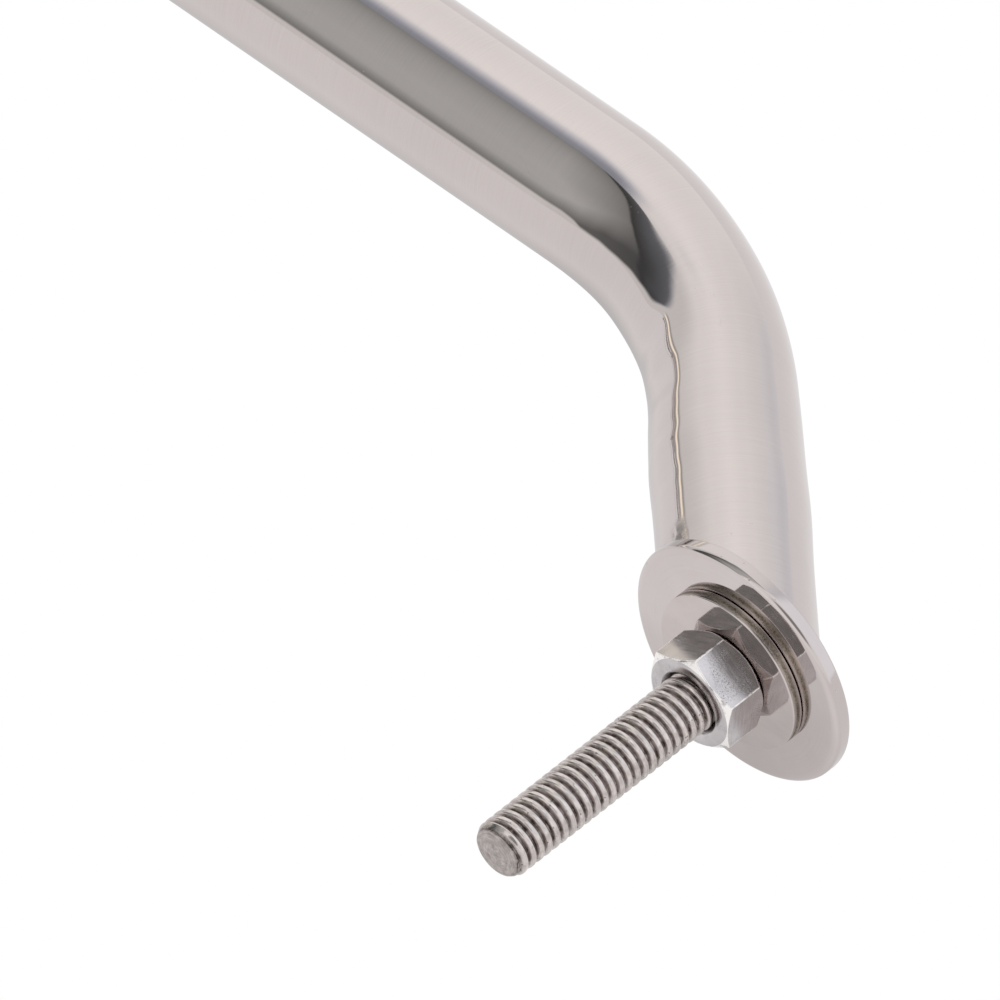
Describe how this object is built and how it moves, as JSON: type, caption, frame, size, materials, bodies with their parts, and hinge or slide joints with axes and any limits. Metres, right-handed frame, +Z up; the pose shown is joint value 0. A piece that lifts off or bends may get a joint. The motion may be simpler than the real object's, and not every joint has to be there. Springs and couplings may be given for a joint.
{
  "type": "grab rail",
  "caption": "Bent round-tube grab rail with a round flange and a threaded stud, washer and hexagon nut at each foot, for bolting through a deck or bulkhead.",
  "frame": {"origin": "midway between the two studs, on the plane of the flanges' mounting faces", "axes": "+X along the grip towards the right foot, +Y along the studs into the panel, away from the grip, +Z up: the rail as it hangs level on an upright bulkhead"},
  "size_m": [0.3388, 0.0976, 0.0338],
  "materials": {
    "tube_steel": "polished",
    "flange_steel": "polished",
    "weld_steel": "gloss",
    "thread_steel": "gloss",
    "raw_weld_steel": "satin",
    "washer_steel": "gloss",
    "nut_steel": "polished"
  },
  "bodies": {
    "rail": {"rail_tube": "tube_steel", "flange_left": "flange_steel", "flange_right": "flange_steel", "weld_bead_left": "weld_steel", "weld_bead_right": "weld_steel", "stud_left": "thread_steel", "stud_right": "thread_steel", "stud_weld_left": "raw_weld_steel", "stud_weld_right": "raw_weld_steel"},
    "washer_left": {"washer_left": "washer_steel"},
    "washer_right": {"washer_right": "washer_steel"},
    "nut_left": {"nut_left": "nut_steel"},
    "nut_right": {"nut_right": "nut_steel"}
  },
  "joints": [
    {"name": "nut_slide_left", "type": "slide", "parent": "rail", "child": "washer_left", "axis": [0, 1, 0], "range_m": [0, 0.03106]},
    {"name": "nut_turn_left", "type": "hinge", "parent": "washer_left", "child": "nut_left", "pos_m": [-0.1525, 0.00507, 0], "axis": [0, 1, 0], "range_deg": [0, 7920]},
    {"name": "nut_slide_right", "type": "slide", "parent": "rail", "child": "washer_right", "axis": [0, 1, 0], "range_m": [0, 0.03106]},
    {"name": "nut_turn_right", "type": "hinge", "parent": "washer_right", "child": "nut_right", "pos_m": [0.1525, 0.00507, 0], "axis": [0, 1, 0], "range_deg": [0, 7920]}
  ],
  "couplings": [
    {"joint": "nut_slide_left", "follows": "nut_turn_left", "m_per_rad": 0.00022458},
    {"joint": "nut_slide_right", "follows": "nut_turn_right", "m_per_rad": 0.00022458}
  ]
}
